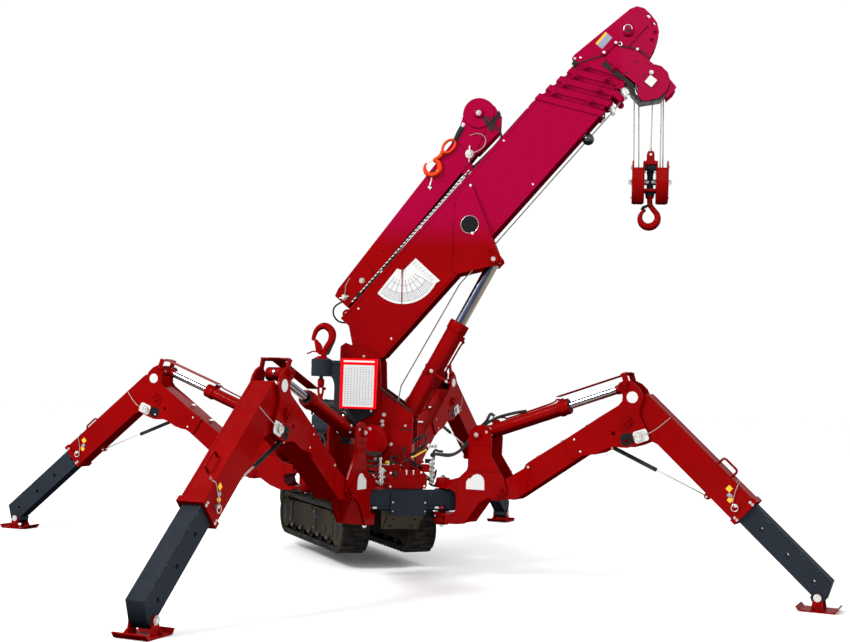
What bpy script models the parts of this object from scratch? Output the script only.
# Mini crawler crane on four outriggers, standing as it works: outriggers out, tracks off the ground,
# boom raised and slewed. Metres, +X forward (bumper end), +Y to the machine's left, +Z up, ground at z = 0.
import math

import bmesh
import bpy
import numpy as np
from mathutils import Vector

for old in list(bpy.data.objects):
    bpy.data.objects.remove(old, do_unlink=True)

# ------------------------------------------------------------------ driving dimensions
SHIFT = (0.1876, -0.0302)  # moves the whole machine so that its box is centred on the origin
SWING_X_FRONT, SWING_X_REAR, SWING_Y = 0.430, -0.726, 0.238  # vertical hinges of the outriggers
ARM_PIN = (0.360, 0.492)  # inner arm's pin: distance from the swing axis, height
CYL_PIN = (0.241, 0.8135)  # outrigger cylinder's base pin
ARM_LENGTH = 0.856  # arm pin to knee pin
EYE_RADIUS, EYE_ANGLE = 0.2025, 65.6  # rod eye from the knee pin, from the arm's direction
KNEE = 72.0  # bend of the knee at rest, degrees
PAD_N, PAD_Z = 0.075, 0.070  # pad pin: offset in the outer arm, height over the ground
FOOT_LENGTH = 0.985  # extension beam
BOOM_AZ, BOOM_EL = 60.0, 49.6  # where the boom points at rest
SLEW_X = 0.262
FOOT_PIN = (-0.185, 1.220)  # boom foot pin in the boom's plane
DERRICK_PIN = (0.056, 0.880)
DERRICK_EYE = (0.944, -0.166)  # in the boom's frame
TRACK_REAR, TRACK_FRONT, TRACK_Z, TRACK_R = -0.995, 0.085, 0.222, 0.131
TRACK_IN, TRACK_OUT = 0.125, 0.297

# name, front, side (+1 left), azimuth, distance knee to pad pin along the outer arm
LEGS = [
    dict(name="front_left", x=SWING_X_FRONT, side=1, az=42.9, reach=1.317, front=True),
    dict(name="front_right", x=SWING_X_FRONT, side=-1, az=-44.6, reach=1.317, front=True),
    dict(name="rear_left", x=SWING_X_REAR, side=1, az=133.6, reach=1.590, front=False),
    dict(name="rear_right", x=SWING_X_REAR, side=-1, az=-131.3, reach=1.408, front=False),
]
# boom tubes: half width, half depth, rear end, top of the slanted front end
TUBES = [
    dict(name="boom_base", hw=0.090, hd=0.1725, rear=0.086, top=1.847),
    dict(name="boom_section_2", hw=0.079, hd=0.1615, rear=0.150, top=1.927),
    dict(name="boom_section_3", hw=0.068, hd=0.1505, rear=0.190, top=2.007),
    dict(name="boom_section_4", hw=0.057, hd=0.1395, rear=0.230, top=2.087),
    dict(name="boom_tip_section", hw=0.046, hd=0.1285, rear=0.270, top=2.180),
]
BOOM_MID, WALL, SLANT = 0.105, 0.005, 0.485  # SLANT: how far the low edge leads, per metre of depth

COLOURS = {
    "red": (0.42, 0.004, 0.008),
    "charcoal": (0.028, 0.032, 0.040),
    "chrome": (0.75, 0.76, 0.78),
    "black": (0.012, 0.012, 0.013),
    "rubber": (0.015, 0.015, 0.015),
    "frame_grey": (0.10, 0.095, 0.085),
    "engine_grey": (0.05, 0.052, 0.055),
    "white": (0.8, 0.8, 0.8),
}
FINISH = {"chrome": (1.0, 0.12), "rubber": (0.0, 0.8), "red": (0.0, 0.3)}


def radians(a):
    return a * math.pi / 180.0


# ------------------------------------------------------------------ solids as (points, faces)
def prism(outline, low, high, place):
    """Outline in (u, v), given anticlockwise or not, pushed from low to high along the third axis."""
    area = sum(
        outline[i][0] * outline[(i + 1) % len(outline)][1] - outline[(i + 1) % len(outline)][0] * outline[i][1]
        for i in range(len(outline))
    )
    if area < 0:
        outline = list(reversed(outline))
    n = len(outline)
    points = [place(u, v, low) for u, v in outline] + [place(u, v, high) for u, v in outline]
    faces = [tuple(range(n)), tuple(range(2 * n - 1, n - 1, -1))]
    faces += [(i, n + i, n + (i + 1) % n, (i + 1) % n) for i in range(n)]
    return points, faces


def loft(ring_a, ring_b):
    n = len(ring_a)
    faces = [tuple(range(n)), tuple(range(2 * n - 1, n - 1, -1))]
    faces += [(i, n + i, n + (i + 1) % n, (i + 1) % n) for i in range(n)]
    return list(ring_a) + list(ring_b), faces


def cylinder(a, b, radius, seg=16, radius_b=None):
    a, b = Vector(a), Vector(b)
    axis = (b - a).normalized()
    side = axis.orthogonal().normalized()
    if abs(axis.z) < 0.999:
        side = Vector((0, 0, 1)).cross(axis).normalized()
    up = axis.cross(side)
    rb = radius if radius_b is None else radius_b
    ring = lambda c, r: [
        tuple(c + side * (r * math.cos(2 * math.pi * i / seg)) + up * (r * math.sin(2 * math.pi * i / seg)))
        for i in range(seg)
    ]
    return loft(ring(a, radius), ring(b, rb))


def block(x0, x1, y0, y1, z0, z1):
    return prism([(x0, y0), (x1, y0), (x1, y1), (x0, y1)], z0, z1, lambda u, v, h: (u, v, h))


def ring_points(centre, radius, start, end, count):
    """Points on an arc in degrees."""
    return [
        (
            centre[0] + radius * math.cos(radians(start + (end - start) * i / (count - 1))),
            centre[1] + radius * math.sin(radians(start + (end - start) * i / (count - 1))),
        )
        for i in range(count)
    ]


def mesh_object(name, solid):
    mesh = bpy.data.meshes.new(name)
    mesh.from_pydata([tuple(p) for p in solid[0]], [], solid[1])
    work = bmesh.new()
    work.from_mesh(mesh)
    bmesh.ops.recalc_face_normals(work, faces=work.faces)
    work.to_mesh(mesh)
    work.free()
    obj = bpy.data.objects.new(name, mesh)
    bpy.context.scene.collection.objects.link(obj)
    return obj


MATERIALS = {}


def material(name, colour):
    if name not in MATERIALS:
        made = bpy.data.materials.new(name)
        made.use_nodes = True
        bsdf = made.node_tree.nodes["Principled BSDF"]
        bsdf.inputs["Base Color"].default_value = (*COLOURS[colour], 1.0)
        metal, rough = FINISH.get(colour, (0.0, 0.45))
        bsdf.inputs["Metallic"].default_value = metal
        bsdf.inputs["Roughness"].default_value = rough
        MATERIALS[name] = made
    return MATERIALS[name]


def build(name, add, cut=(), colour="red", origin=(0.0, 0.0, 0.0)):
    """One node: the union of the solids in add, less those in cut, with its origin on its joint."""
    base = mesh_object(name, add[0])
    helpers = []
    for number, (solid, kind) in enumerate([(s, "UNION") for s in add[1:]] + [(s, "DIFFERENCE") for s in cut]):
        other = mesh_object(f"{name}_tool_{number}", solid)
        helpers.append(other)
        modifier = base.modifiers.new(f"m{number}", "BOOLEAN")
        modifier.operation = kind
        modifier.solver = "EXACT"
        modifier.object = other
    bpy.context.view_layer.update()
    if helpers:
        graph = bpy.context.evaluated_depsgraph_get()
        baked = bpy.data.meshes.new_from_object(base.evaluated_get(graph), depsgraph=graph)
        base.modifiers.clear()
        base.data = baked
        for other in helpers:
            bpy.data.objects.remove(other, do_unlink=True)
    centre = Vector((origin[0] + SHIFT[0], origin[1] + SHIFT[1], origin[2]))
    for vertex in base.data.vertices:
        vertex.co = vertex.co + Vector((SHIFT[0], SHIFT[1], 0.0)) - centre
    base.location = centre
    base.data.materials.clear()
    base.data.materials.append(material(name, colour))
    base.name = name
    base.data.name = name
    return base


# ------------------------------------------------------------------ outriggers
def arm_angle(leg):
    """The inner arm's slope that puts the pad's pin at its height."""
    low, high = 15.0, 45.0
    for _ in range(60):
        mid = 0.5 * (low + high)
        outer = radians(KNEE - mid)
        height = ARM_PIN[1] + ARM_LENGTH * math.sin(radians(mid)) - leg["reach"] * math.sin(outer) + PAD_N * math.cos(outer)
        if height < PAD_Z:
            low = mid
        else:
            high = mid
    return 0.5 * (low + high)


def leg_frame(leg):
    az = radians(leg["az"])
    e = Vector((math.cos(az), math.sin(az), 0.0))
    left = Vector((-e.y, e.x, 0.0))
    base = Vector((leg["x"], SWING_Y * leg["side"], 0.0))
    slope = radians(arm_angle(leg))
    outer = slope - radians(KNEE)
    knee = (ARM_PIN[0] + ARM_LENGTH * math.cos(slope), ARM_PIN[1] + ARM_LENGTH * math.sin(slope))
    eye_dir = slope + radians(EYE_ANGLE)
    eye = (knee[0] + EYE_RADIUS * math.cos(eye_dir), knee[1] + EYE_RADIUS * math.sin(eye_dir))

    def plane(r, z, w):
        return tuple(base + e * r + left * w + Vector((0, 0, z)))

    def inner(t, n, w):
        return plane(
            ARM_PIN[0] + t * math.cos(slope) - n * math.sin(slope),
            ARM_PIN[1] + t * math.sin(slope) + n * math.cos(slope),
            w,
        )

    def outer_at(t, n, w):
        return plane(
            knee[0] + t * math.cos(outer) - n * math.sin(outer), knee[1] + t * math.sin(outer) + n * math.cos(outer), w
        )

    rod = math.atan2(eye[1] - CYL_PIN[1], eye[0] - CYL_PIN[0])

    def along(x, n, w):
        return plane(CYL_PIN[0] + x * math.cos(rod) - n * math.sin(rod), CYL_PIN[1] + x * math.sin(rod) + n * math.cos(rod), w)

    length = math.hypot(eye[0] - CYL_PIN[0], eye[1] - CYL_PIN[1])
    return dict(
        plane=plane, inner=inner, outer=outer_at, along=along, length=length, e=e, left=left, base=base, slope=slope,
        outer_angle=outer, knee=knee, eye=eye, rod=rod,
    )


BRACKET_TOP = [
    (0.335, 0.466), (0.405, 0.466), (0.435, 0.500), (0.412, 0.575), (0.330, 0.700), (0.333, 0.800), (0.318, 0.855),
    (0.280, 0.873), (0.235, 0.868), (0.198, 0.835), (0.190, 0.780), (0.204, 0.665), (0.185, 0.610), (0.140, 0.567),
    (0.095, 0.553), (0.060, 0.550),
]
BRACKET_FRONT = [
    (0.060, 0.497), (0.086, 0.497), (0.115, 0.482), (0.128, 0.455), (0.128, 0.390), (0.112, 0.366), (0.085, 0.355),
    (0.060, 0.355), (0.060, 0.297), (0.137, 0.299), (0.182, 0.306), (0.270, 0.430),
] + BRACKET_TOP
BRACKET_REAR = [
    (0.060, 0.497), (0.086, 0.497), (0.112, 0.485), (0.125, 0.462), (0.115, 0.430), (0.090, 0.412), (0.060, 0.412),
    (0.060, 0.386), (0.150, 0.386), (0.220, 0.410), (0.295, 0.455),
] + BRACKET_TOP
CHEEK = [
    (0.500, -0.040), (0.560, -0.043), (0.590, -0.056), (0.645, -0.071), (0.705, -0.071), (0.745, -0.081), (0.775, -0.102),
    (0.805, -0.119), (0.860, -0.132), (0.905, -0.136), (0.935, -0.120), (0.948, -0.085), (0.950, 0.000), (0.965, 0.035),
    (1.015, 0.078), (1.018, 0.130), (1.006, 0.170), (0.986, 0.198), (0.960, 0.206), (0.935, 0.200), (0.920, 0.175),
    (0.915, 0.140), (0.900, 0.118), (0.870, 0.106), (0.749, 0.099), (0.500, 0.078),
]
ARM_BODY = [
    (-0.048, 0.000), (-0.038, -0.032), (-0.010, -0.048), (0.040, -0.060), (0.085, -0.086), (0.105, -0.086),
    (0.560, -0.043), (0.700, -0.043), (0.700, 0.093), (0.262, 0.066), (0.238, 0.062), (0.215, 0.046), (0.080, 0.042),
    (0.000, 0.047), (-0.035, 0.033),
]
OUTER_SIDE = [
    (-0.034, 0.200), (-0.050, 0.090), (-0.056, 0.000), (-0.040, -0.040), (0.000, -0.056), (0.050, -0.048),
    (0.100, -0.030), (0.135, 0.000), (0.155, 0.030), (0.200, 0.045), (0.775, 0.045), (0.775, 0.200),
]


def outrigger(leg):
    f = leg_frame(leg)
    plane, inner, outer, along = f["plane"], f["inner"], f["outer"], f["along"]
    name = "outrigger_" + leg["name"]
    swing = (leg["x"], SWING_Y * leg["side"], 0.5)

    # bracket on the swing pin
    outline = BRACKET_FRONT if leg["front"] else BRACKET_REAR
    low, plate = (0.297, 0.355) if leg["front"] else (0.386, 0.412)
    nose = ring_points((0.0, 0.0), 0.050, 110, 250, 7)
    slab = nose + [(0.062, -0.0885), (0.135, -0.0885), (0.135, 0.0885), (0.062, 0.0885)]
    flat = lambda u, v, h: plane(u, h, v)
    add = [
        prism([(0.120, -0.080), (0.146, -0.080), (0.146, 0.080), (0.120, 0.080)], plate - 0.012, 0.560, flat),
        prism(outline, 0.077, 0.089, plane),
        prism(outline, -0.089, -0.077, plane),
        prism(slab, 0.497, 0.517, flat),
        prism(slab, plate - 0.018, plate, flat),
        prism([(0.188, 0.560), (0.201, 0.560), (0.201, 0.745), (0.188, 0.745)], -0.080, 0.080, plane),
        prism([(0.140, 0.548), (0.195, 0.548), (0.195, 0.562), (0.140, 0.562)], -0.080, 0.080, plane),
        cylinder(plane(0, 0.510, 0), plane(0, 0.548, 0), 0.038),
        cylinder(plane(0, low, 0), plane(0, plate - 0.010, 0), 0.038),
        cylinder(plane(*ARM_PIN, -0.100), plane(*ARM_PIN, 0.100), 0.023),
        cylinder(plane(*ARM_PIN, -0.095), plane(*ARM_PIN, -0.083), 0.038),
        cylinder(plane(*ARM_PIN, 0.083), plane(*ARM_PIN, 0.095), 0.038),
        cylinder(plane(*CYL_PIN, -0.094), plane(*CYL_PIN, 0.094), 0.016, 12),
        prism([(0.128, 0.300), (0.146, 0.300), (0.146, 0.360), (0.128, 0.360)], -0.080, 0.080, plane)
        if leg["front"]
        else prism([(0.125, 0.388), (0.146, 0.388), (0.146, 0.42), (0.125, 0.42)], -0.080, 0.080, plane),
    ]
    bore = cylinder(plane(0, 0.25, 0), plane(0, 0.60, 0), 0.0235)
    build(name + "_bracket", add, [bore], "red", swing)

    # inner arm
    tab = [(0.950, 0.195), (0.980, 0.190), (0.992, 0.248), (0.962, 0.253)]
    add = [
        prism(ARM_BODY, -0.0705, 0.0705, inner),
        prism(CHEEK, 0.069, 0.082, inner),
        prism(CHEEK, -0.082, -0.069, inner),
        prism([(0.690, 0.080), (0.885, 0.090), (0.885, 0.100), (0.690, 0.0925)], -0.0702, 0.0702, inner),
        cylinder(inner(ARM_LENGTH, 0, -0.089), inner(ARM_LENGTH, 0, 0.089), 0.022),
        prism(tab, 0.069, 0.0795, inner),
        prism(tab, -0.0795, -0.069, inner),
        prism([(0.560, 0.3190), (0.998, 0.2410), (0.9987, 0.2450), (0.5607, 0.3230)], -0.034, 0.034, inner),
        prism([(0.958, 0.2465), (0.992, 0.2405), (0.9932, 0.2475), (0.9592, 0.2535)], -0.081, 0.081, inner),
    ]
    for side in (-1, 1):
        add.append(cylinder(inner(ARM_LENGTH, 0, 0.078 * side), inner(ARM_LENGTH, 0, 0.0875 * side), 0.034, 12))
        add.append(cylinder(inner(0.9397, 0.1844, 0.078 * side), inner(0.9397, 0.1844, 0.088 * side), 0.028, 12))
        add.append(cylinder(inner(0.893, -0.096, 0.078 * side), inner(0.893, -0.096, 0.092 * side), 0.015, 10))
    cut = [
        cylinder(inner(0, 0, -0.2), inner(0, 0, 0.2), 0.0240),
        cylinder(inner(0.773, -0.015, -0.2), inner(0.773, -0.015, 0.2), 0.0115, 10),
        cylinder(inner(0.820, -0.086, -0.2), inner(0.820, -0.086, 0.2), 0.0115, 10),
    ]
    build(name + "_inner_arm", add, cut, "red", plane(*ARM_PIN, 0))

    # outer arm, a tube with side plates round the knee pin
    hollow = [(-0.060, 0.055), (0.800, 0.055), (0.800, 0.190), (-0.060, 0.190)]
    add = [
        prism(OUTER_SIDE, 0.0545, 0.0625, outer),
        prism(OUTER_SIDE, -0.0625, -0.0545, outer),
        prism([(-0.030, 0.190), (0.774, 0.190), (0.774, 0.1995), (-0.030, 0.1995)], -0.058, 0.058, outer),
        prism([(0.140, 0.0455), (0.774, 0.0455), (0.774, 0.055), (0.140, 0.055)], -0.058, 0.058, outer),
        prism([(0.745, 0.037), (0.778, 0.037), (0.778, 0.208), (0.745, 0.208)], -0.0705, 0.0705, outer),
        cylinder(outer(0, 0, -0.062), outer(0, 0, 0.062), 0.036, 12),
    ]
    cut = [
        prism(hollow, -0.0545, 0.0545, outer),
        cylinder(outer(0, 0, -0.1), outer(0, 0, 0.1), 0.0230),
    ]
    build(name + "_outer_arm", add, cut, "red", outer(0, 0, 0))

    # extension beam with its row of pin holes
    s = leg["reach"]
    beam = [
        (s - FOOT_LENGTH + 0.012, 0.061), (s - 0.032, 0.061), (s - 0.014, 0.041), (s + 0.020, 0.041), (s + 0.034, 0.055),
        (s + 0.034, 0.098), (s - 0.006, 0.184), (s - FOOT_LENGTH + 0.012, 0.184),
    ]
    cut = [cylinder(outer(s, PAD_N, -0.2), outer(s, PAD_N, 0.2), 0.0125, 12)]
    for hole in range(5):
        t = s - 0.070 - 0.182 * hole
        cut.append(cylinder(outer(t, 0.116, -0.2), outer(t, 0.116, 0.2), 0.0115, 10))
    build(name + "_extension", [prism(beam, -0.048, 0.048, outer)], cut, "charcoal", outer(s, PAD_N, 0))

    # pad, flat on the ground
    r_pad = f["knee"][0] + s * math.cos(f["outer_angle"]) - PAD_N * math.sin(f["outer_angle"])
    at = lambda u, v, w: plane(r_pad + u, v, w)
    tray = [
        (-0.105, 0.021), (-0.087, 0.000), (0.087, 0.000), (0.105, 0.021), (0.100, 0.026), (0.083, 0.007), (-0.083, 0.007),
        (-0.100, 0.026),
    ]
    ear = [(-0.032, 0.003), (0.032, 0.003), (0.020, 0.078), (0.010, 0.090), (-0.010, 0.090), (-0.020, 0.078)]
    add = [
        prism(tray, -0.085, 0.085, at),
        prism(ear, 0.0535, 0.0615, at),
        prism(ear, -0.0615, -0.0535, at),
        cylinder(at(0, PAD_Z, -0.066), at(0, PAD_Z, 0.066), 0.0115, 10),
    ]
    build(name + "_pad", add, (), "red", at(0, PAD_Z, 0))

    # lift cylinder
    length = f["length"]
    add = [
        cylinder(along(0.020, 0, 0), along(0.545, 0, 0), 0.040),
        cylinder(along(0.500, 0, 0), along(0.553, 0, 0), 0.0445),
        cylinder(along(0, 0, -0.045), along(0, 0, 0.045), 0.032, 12),
    ]
    cut = [
        cylinder(along(0.050, 0, 0), along(0.60, 0, 0), 0.0240),
        cylinder(along(0, 0, -0.1), along(0, 0, 0.1), 0.0168, 12),
    ]
    build(name + "_cylinder_barrel", add, cut, "red", along(0, 0, 0))
    add = [
        cylinder(along(length - 0.545, 0, 0), along(length - 0.020, 0, 0), 0.0225),
        cylinder(along(length, 0, -0.044), along(length, 0, 0.044), 0.033, 12),
    ]
    cut = [cylinder(along(length, 0, -0.1), along(length, 0, 0.1), 0.016, 12)]
    build(name + "_cylinder_rod", add, cut, "chrome", along(length, 0, 0))


for leg in LEGS:
    outrigger(leg)

# ------------------------------------------------------------------ carrier
def carrier():
    add = [
        block(-0.800, 0.440, -0.110, 0.110, 0.372, 0.488),
        block(0.385, 0.452, -0.238, 0.238, 0.378, 0.480),
        block(-0.765, -0.690, -0.238, 0.238, 0.428, 0.482),
        cylinder((SLEW_X, 0, 0.480), (SLEW_X, 0, 0.577), 0.118, 28),
        prism(
            [(0.455, 0.345), (0.380, 0.262), (0.365, 0.262), (0.365, 0.274), (0.430, 0.385), (0.455, 0.385)],
            -0.100, 0.100, lambda u, v, h: (u, h, v),
        ),
    ]
    for side in (-1, 1):
        for x, low, stub in ((SWING_X_FRONT, 0.363, 0.292), (SWING_X_REAR, 0.420, 0.381)):
            y = SWING_Y * side
            add.append(cylinder((x, y, low), (x, y, 0.489), 0.048, 20))
            add.append(cylinder((x, y, stub), (x, y, 0.556), 0.0225, 12))
    build("chassis_frame", add, (), "red")

    # bumper bar with its middle panel
    bar = [(0.456, 0.372), (0.486, 0.368), (0.494, 0.376), (0.494, 0.405), (0.502, 0.414), (0.502, 0.470), (0.490, 0.487), (0.456, 0.487)]
    side_view = lambda u, v, h: (u, h, v)
    ends = [
        prism([(0.44, 0.30), (0.52, 0.30), (0.52, 0.262), (0.495, 0.290)], 0.3, 0.6, lambda u, v, h: (u, v * side, h))
        for side in (-1, 1)
    ]
    ends += [
        cylinder((SWING_X_FRONT, SWING_Y * side, 0.2), (SWING_X_FRONT, SWING_Y * side, 0.6), 0.0485, 20) for side in (-1, 1)
    ]
    add = [
        prism(bar, -0.279, 0.279, side_view),
        block(0.470, 0.509, -0.105, 0.105, 0.342, 0.478),
    ]
    build("front_bumper", add, ends, "charcoal")

    # outrigger valves and their red cover
    shape = [(-0.117, 0.491), (0.117, 0.491), (0.117, 0.545), (0.080, 0.597), (-0.100, 0.597), (-0.117, 0.575)]
    build(
        "outrigger_valve_cover",
        [
            prism(shape, 0.455, 0.470, lambda u, v, h: (h, u, v)),
            block(0.444, 0.460, -0.100, 0.100, 0.500, 0.570),
        ],
        (),
        "red",
    )

    # engine housing behind the column
    add = [
        block(-0.640, -0.150, -0.235, 0.235, 0.493, 0.945),
        block(-1.060, -0.630, -0.115, 0.115, 0.493, 0.900),
    ]
    build("engine", add, (), "engine_grey")
    build("rear_tank", [prism([(-1.148, 0.245), (-1.148, 0.372), (-1.222, 0.372), (-1.222, 0.290), (-1.190, 0.245)], -0.275, 0.275, side_view),
                        block(-1.160, -0.700, -0.100, 0.100, 0.330, 0.3690)], (), "frame_grey")

    # track frames, rollers and cross tube
    add = [block(-0.700, -0.250, -0.180, 0.180, 0.200, 0.290), block(-0.700, -0.250, -0.118, 0.118, 0.280, 0.3700)]
    for side in (-1, 1):
        inside, outside = sorted((0.140 * side, 0.289 * side))
        add.append(block(-0.960, 0.050, inside, outside, 0.150, 0.300))
        for x in (TRACK_REAR, TRACK_FRONT):
            add.append(cylinder((x, inside, TRACK_Z), (x, outside, TRACK_Z), 0.100, 20))
        for number in range(5):
            x = -0.820 + 0.185 * number
            add.append(cylinder((x, inside + 0.01, 0.148), (x, outside - 0.01, 0.148), 0.034, 12))
    build("track_frames", add, (), "frame_grey")

    # rubber tracks, the shoes in the outline
    for side, name in ((1, "left_track"), (-1, "right_track")):
        pitch, outer_line = 0.072, []
        length = TRACK_FRONT - TRACK_REAR
        around = 2 * length + 2 * math.pi * TRACK_R
        count = int(round(around / pitch))
        for shoe in range(count):
            for share, lift in ((0.00, 0.0), (0.12, 0.009), (0.52, 0.009), (0.64, 0.0)):
                d = (shoe + share) * around / count
                radius = TRACK_R + lift
                if d < length:
                    outer_line.append((TRACK_REAR + d, TRACK_Z - radius))
                elif d < length + math.pi * TRACK_R:
                    a = (d - length) / TRACK_R - math.pi / 2
                    outer_line.append((TRACK_FRONT + radius * math.cos(a), TRACK_Z + radius * math.sin(a)))
                elif d < 2 * length + math.pi * TRACK_R:
                    outer_line.append((TRACK_FRONT - (d - length - math.pi * TRACK_R), TRACK_Z + radius))
                else:
                    a = (d - 2 * length - math.pi * TRACK_R) / TRACK_R + math.pi / 2
                    outer_line.append((TRACK_REAR + radius * math.cos(a), TRACK_Z + radius * math.sin(a)))
        inner_line = ring_points((TRACK_FRONT, TRACK_Z), 0.1115, -90, 90, 15) + ring_points((TRACK_REAR, TRACK_Z), 0.1115, 90, 270, 15)
        y0, y1 = sorted((TRACK_IN * side, TRACK_OUT * side))
        build(
            name,
            [prism(outer_line, y0, y1, side_view)],
            [prism(inner_line, y0 - 0.1, y1 + 0.1, side_view)],
            "rubber",
        )


carrier()

# ------------------------------------------------------------------ upper works
AZ = radians(BOOM_AZ)
FORWARD = Vector((math.cos(AZ), math.sin(AZ), 0.0))
LEFT = Vector((-FORWARD.y, FORWARD.x, 0.0))
SLEW = Vector((SLEW_X, 0.0, 0.0))


def deck(r, z, w):
    return tuple(SLEW + FORWARD * r + LEFT * w + Vector((0, 0, z)))


EL = radians(BOOM_EL)


def boom(s, n, w):
    return deck(FOOT_PIN[0] + s * math.cos(EL) - n * math.sin(EL), FOOT_PIN[1] + s * math.sin(EL) + n * math.cos(EL), w)


def upper_works():
    flat = lambda u, v, h: deck(u, h, v)
    # column: turntable, two cheeks, plates between them
    cheek = [
        (-0.210, 0.600), (0.112, 0.600), (0.112, 0.920), (0.100, 0.935), (-0.080, 1.058), (-0.088, 1.215), (-0.100, 1.248),
        (-0.150, 1.268), (-0.300, 1.322), (-0.330, 1.300), (-0.330, 1.150), (-0.300, 0.900), (-0.235, 0.720),
    ]
    add = [
        cylinder(deck(0, 0.583, 0), deck(0, 0.612, 0), 0.165, 32),
        prism(cheek, 0.100, 0.113, deck),
        prism(cheek, -0.113, -0.100, deck),
        prism([(0.088, 0.605), (0.104, 0.605), (0.104, 0.760), (0.088, 0.760)], -0.102, 0.102, deck),
        prism([(-0.328, 1.150), (-0.298, 0.900), (-0.233, 0.722), (-0.205, 0.605), (-0.190, 0.605), (-0.218, 0.725), (-0.283, 0.903), (-0.313, 1.150)], -0.102, 0.102, deck),
        cylinder(deck(*FOOT_PIN, -0.120), deck(*FOOT_PIN, 0.120), 0.026),
        cylinder(deck(*DERRICK_PIN, -0.119), deck(*DERRICK_PIN, 0.119), 0.021),
        cylinder(deck(*DERRICK_PIN, -0.117), deck(*DERRICK_PIN, -0.110), 0.033, 12),
        cylinder(deck(*DERRICK_PIN, 0.110), deck(*DERRICK_PIN, 0.117), 0.033, 12),
    ]
    build("slewing_column", add, (), "red", deck(0, 0.6, 0))

    # winch on the right cheek, drum between the cheeks
    add = [
        cylinder(deck(-0.110, 0.757, -0.196), deck(-0.110, 0.757, -0.1135), 0.092, 28),
        cylinder(deck(-0.110, 0.757, -0.207), deck(-0.110, 0.757, -0.190), 0.070, 24),
    ]
    build("winch", add, (), "red")

    # load chart panel
    add = [
        prism([(-0.303, 0.939), (-0.087, 0.939), (-0.087, 1.228), (-0.303, 1.228)], -0.214, -0.200, deck),
        prism([(-0.270, 0.960), (-0.120, 0.960), (-0.120, 1.200), (-0.270, 1.200)], -0.202, -0.1205, deck),
    ]
    build("load_chart_panel", add, (), "red")

    # single-fall hook stowed beside the panel on its bracket
    hook = ring_points((-0.420, 1.340), 0.062, -60, 300, 25)
    hook_hole = ring_points((-0.420, 1.345), 0.033, 0, 345, 12)
    add = [
        prism([(-0.480, 1.200), (-0.310, 1.200), (-0.310, 1.250), (-0.480, 1.250)], -0.205, -0.1135, deck),
        cylinder(deck(-0.420, 1.110, -0.186), deck(-0.420, 1.300, -0.186), 0.040, 24),
        prism(hook, -0.204, -0.168, deck),
        prism([(-0.434, 0.985), (-0.406, 0.985), (-0.404, 1.115), (-0.436, 1.115)], -0.198, -0.174, deck),
    ]
    build("stowed_hook", add, [prism(hook_hole, -0.4, 0.1, deck)], "charcoal")

    # derrick cylinder
    eye = (
        FOOT_PIN[0] + DERRICK_EYE[0] * math.cos(EL) - DERRICK_EYE[1] * math.sin(EL),
        FOOT_PIN[1] + DERRICK_EYE[0] * math.sin(EL) + DERRICK_EYE[1] * math.cos(EL),
    )
    dx, dz = eye[0] - DERRICK_PIN[0], eye[1] - DERRICK_PIN[1]
    span, slope = math.hypot(dx, dz), math.atan2(dz, dx)
    along = lambda x, n, w: deck(
        DERRICK_PIN[0] + x * math.cos(slope) - n * math.sin(slope), DERRICK_PIN[1] + x * math.sin(slope) + n * math.cos(slope), w
    )
    add = [
        cylinder(along(0.030, 0, 0), along(0.650, 0, 0), 0.055, 28),
        cylinder(along(0.610, 0, 0), along(0.655, 0, 0), 0.060, 28),
        cylinder(along(0, 0, -0.060), along(0, 0, 0.060), 0.040, 24),
    ]
    cut = [
        cylinder(along(0.060, 0, 0), along(0.70, 0, 0), 0.0365, 28),
        cylinder(along(0, 0, -0.1), along(0, 0, 0.1), 0.0218, 24),
    ]
    build("derrick_cylinder_barrel", add, cut, "red", along(0, 0, 0))
    add = [
        cylinder(along(span - 0.665, 0, 0), along(span - 0.018, 0, 0), 0.0350, 28),
        cylinder(along(span, 0, -0.048), along(span, 0, 0.048), 0.034, 12),
    ]
    build("derrick_cylinder_rod", add, [cylinder(along(span, 0, -0.1), along(span, 0, 0.1), 0.015, 10)], "chrome", along(span, 0, 0))

    # boom tubes
    for number, tube in enumerate(TUBES):
        hw, hd = tube["hw"], tube["hd"]
        low, high = BOOM_MID - hd, BOOM_MID + hd
        lead = SLANT * 2 * hd
        outline = [(tube["rear"], low), (tube["top"] + lead, low), (tube["top"], high), (tube["rear"], high)]
        add = [prism(outline, -hw, hw, boom)]
        if number < 4:
            add.append(
                prism(
                    [
                        (tube["top"] + lead - 0.045, low - 0.008), (tube["top"] + lead - 0.004, low - 0.008),
                        (tube["top"] - 0.004, high + 0.008), (tube["top"] - 0.045, high + 0.008),
                    ],
                    -hw - 0.0045, hw + 0.0045, boom,
                )
            )
        grow = WALL * SLANT
        hollow = [
            (tube["rear"] - 0.1, low + WALL), (tube["top"] + lead + 0.2, low + WALL), (tube["top"] + 0.2, high - WALL),
            (tube["rear"] - 0.1, high - WALL),
        ]
        cut = [prism(hollow, -hw + WALL, hw - WALL, boom)]
        if number == 0:
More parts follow.
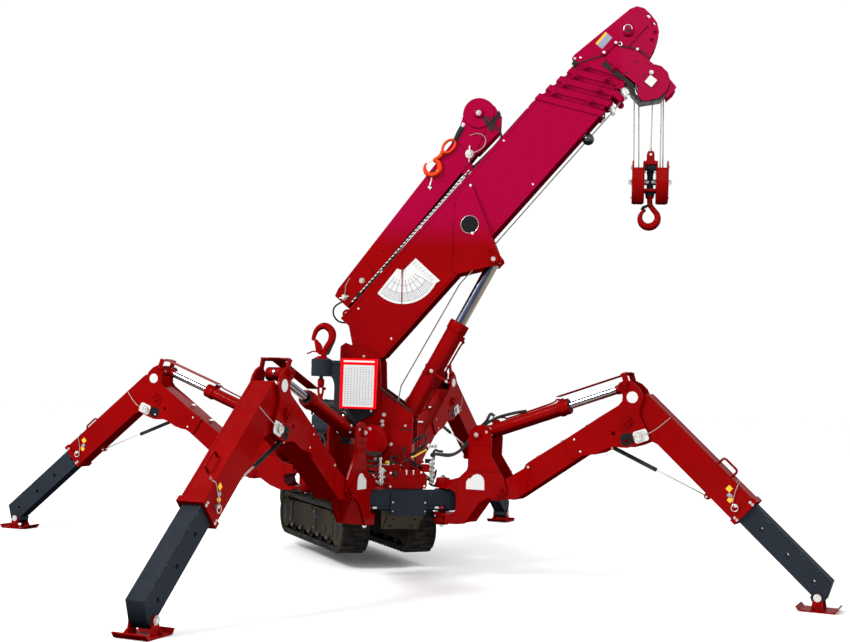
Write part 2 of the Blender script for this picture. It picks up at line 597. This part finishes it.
            # foot block, gusset plates for the derrick cylinder
            hollow = [(0.130, low + WALL), (2.4, low + WALL), (2.2, high - WALL), (0.130, high - WALL)]
            cut = [prism(hollow, -hw + WALL, hw - WALL, boom), cylinder(boom(0, 0, -0.2), boom(0, 0, 0.2), 0.0270)]
            foot = ring_points((0, 0), 0.058, 150, 300, 10) + [(0.100, low), (0.100, 0.230)]
            add.append(prism(foot, -0.088, 0.088, boom))
            gusset = [
                (0.729, -0.040), (0.735, -0.062), (0.915, -0.190), (0.930, -0.205), (0.975, -0.206), (0.985, -0.190), (0.990, -0.160),
                (1.185, 0.220), (1.160, 0.240), (1.054, 0.232),
            ]
            add.append(prism(gusset, 0.086, 0.100, boom))
            add.append(prism(gusset, -0.100, -0.086, boom))
            for side in (-1, 1):
                add.append(cylinder(boom(*DERRICK_EYE, 0.096 * side), boom(*DERRICK_EYE, 0.106 * side), 0.030, 12))
        if number == 4:
            # boom head: plates over the tube, sheave box below
            cut = [prism([(2.100, 0.0), (2.12, 0.2), (0.2, 0.215), (0.2, -0.01)], -hw + WALL, hw - WALL, boom)]
            cut = [prism([(0.1, low + WALL), (2.12, low + WALL), (2.12, high - WALL), (0.1, high - WALL)], -hw + WALL, hw - WALL, boom)]
            head = [
                (2.112, 0.262), (2.124, 0.287), (2.150, 0.290), (2.560, 0.224), (2.596, 0.205), (2.615, 0.165), (2.612, 0.110),
                (2.598, 0.050), (2.565, 0.005), (2.520, -0.020), (2.479, -0.037), (2.390, -0.059), (2.300, -0.040), (2.222, 0.000),
            ]
            box = [
                (2.243, 0.139), (2.340, 0.141), (2.396, 0.025), (2.402, -0.104), (2.418, -0.140), (2.415, -0.190), (2.385, -0.235),
                (2.333, -0.256), (2.270, -0.250), (2.200, -0.196), (2.205, -0.150), (2.250, -0.115),
            ]
            for side in (-1, 1):
                near, far = sorted((0.0440 * side, 0.0540 * side))
                add.append(prism(head, near, far, boom))
                near, far = sorted((0.0520 * side, 0.0640 * side))
                add.append(prism(box, near, far, boom))
            add.append(prism([(2.16, 0.205), (2.45, 0.165), (2.45, 0.180), (2.16, 0.220)], -0.046, 0.046, boom))
            for centre, radius in (((2.453, 0.144), 0.070), ((2.308, -0.155), 0.078)):
                add.append(cylinder(boom(*centre, -0.038), boom(*centre, 0.038), radius, 28))
            add.append(cylinder(boom(2.453, 0.144, -0.064), boom(2.453, 0.144, 0.064), 0.018, 12))
            add.append(cylinder(boom(2.308, -0.155, -0.072), boom(2.308, -0.155, 0.072), 0.020, 12))
            for s, n in ((2.592, 0.113), (2.577, 0.062), (2.548, 0.021), (2.503, 0.004)):
                cut.append(cylinder(boom(s, n, -0.1), boom(s, n, 0.1), 0.0120, 14))
        build(tube["name"], add, cut, "red", boom(0, 0, 0))

    # searcher jib stowed along the top of the boom
    beam = [(0.157, 0.290), (1.330, 0.325), (1.430, 0.340), (1.430, 0.500), (1.330, 0.485), (0.200, 0.410), (0.157, 0.396)]
    beam = [(u, v + 0.006) for u, v in beam]
    add = [
        prism(beam, -0.045, 0.045, boom),
        cylinder(boom(1.528, 0.484, -0.052), boom(1.528, 0.484, 0.052), 0.092, 32),
        prism([(1.320, 0.335), (1.500, 0.392), (1.575, 0.470), (1.500, 0.565), (1.320, 0.480)], -0.050, 0.050, boom),
        prism([(0.320, 0.2785), (0.400, 0.2785), (0.400, 0.330), (0.320, 0.330)], -0.040, 0.040, boom),
        prism([(1.200, 0.2785), (1.280, 0.2785), (1.280, 0.345), (1.200, 0.345)], -0.040, 0.040, boom),
    ]
    build("searcher_jib", add, (), "red")

    # hook block under the boom head
    c = (1.442, 0.0)
    block_at = lambda u, v, h: deck(c[0] + h, v, u)
    side_cheek = [(-0.040, 2.190), (0.040, 2.190), (0.072, 2.240), (0.078, 2.310), (0.070, 2.380), (0.040, 2.430), (-0.040, 2.430), (-0.070, 2.380), (-0.078, 2.310), (-0.072, 2.240)]
    add = [
        prism(side_cheek, -0.104, -0.030, block_at),
        prism(side_cheek, 0.030, 0.104, block_at),
        prism([(-0.030, 2.250), (0.030, 2.250), (0.030, 2.425), (-0.030, 2.425)], -0.040, 0.040, block_at),
        cylinder(deck(c[0], 2.420, 0), deck(c[0], 2.472, 0), 0.030, 12),
    ]
    build("hook_block", add, (), "red", deck(*[c[0], 2.9, 0]))
    ring = ring_points((0.0, 2.098), 0.068, -90, 255, 24)
    hole = ring_points((-0.004, 2.104), 0.040, 0, 342, 12)
    face = lambda u, v, h: deck(c[0] + u, v, h)
    add = [
        prism(ring, -0.019, 0.019, face),
        cylinder(deck(c[0], 2.150, 0), deck(c[0], 2.244, 0), 0.017, 12),
    ]
    build("hook", add, [prism(hole, -0.1, 0.1, face)], "red", deck(c[0], 2.2, 0))


upper_works()
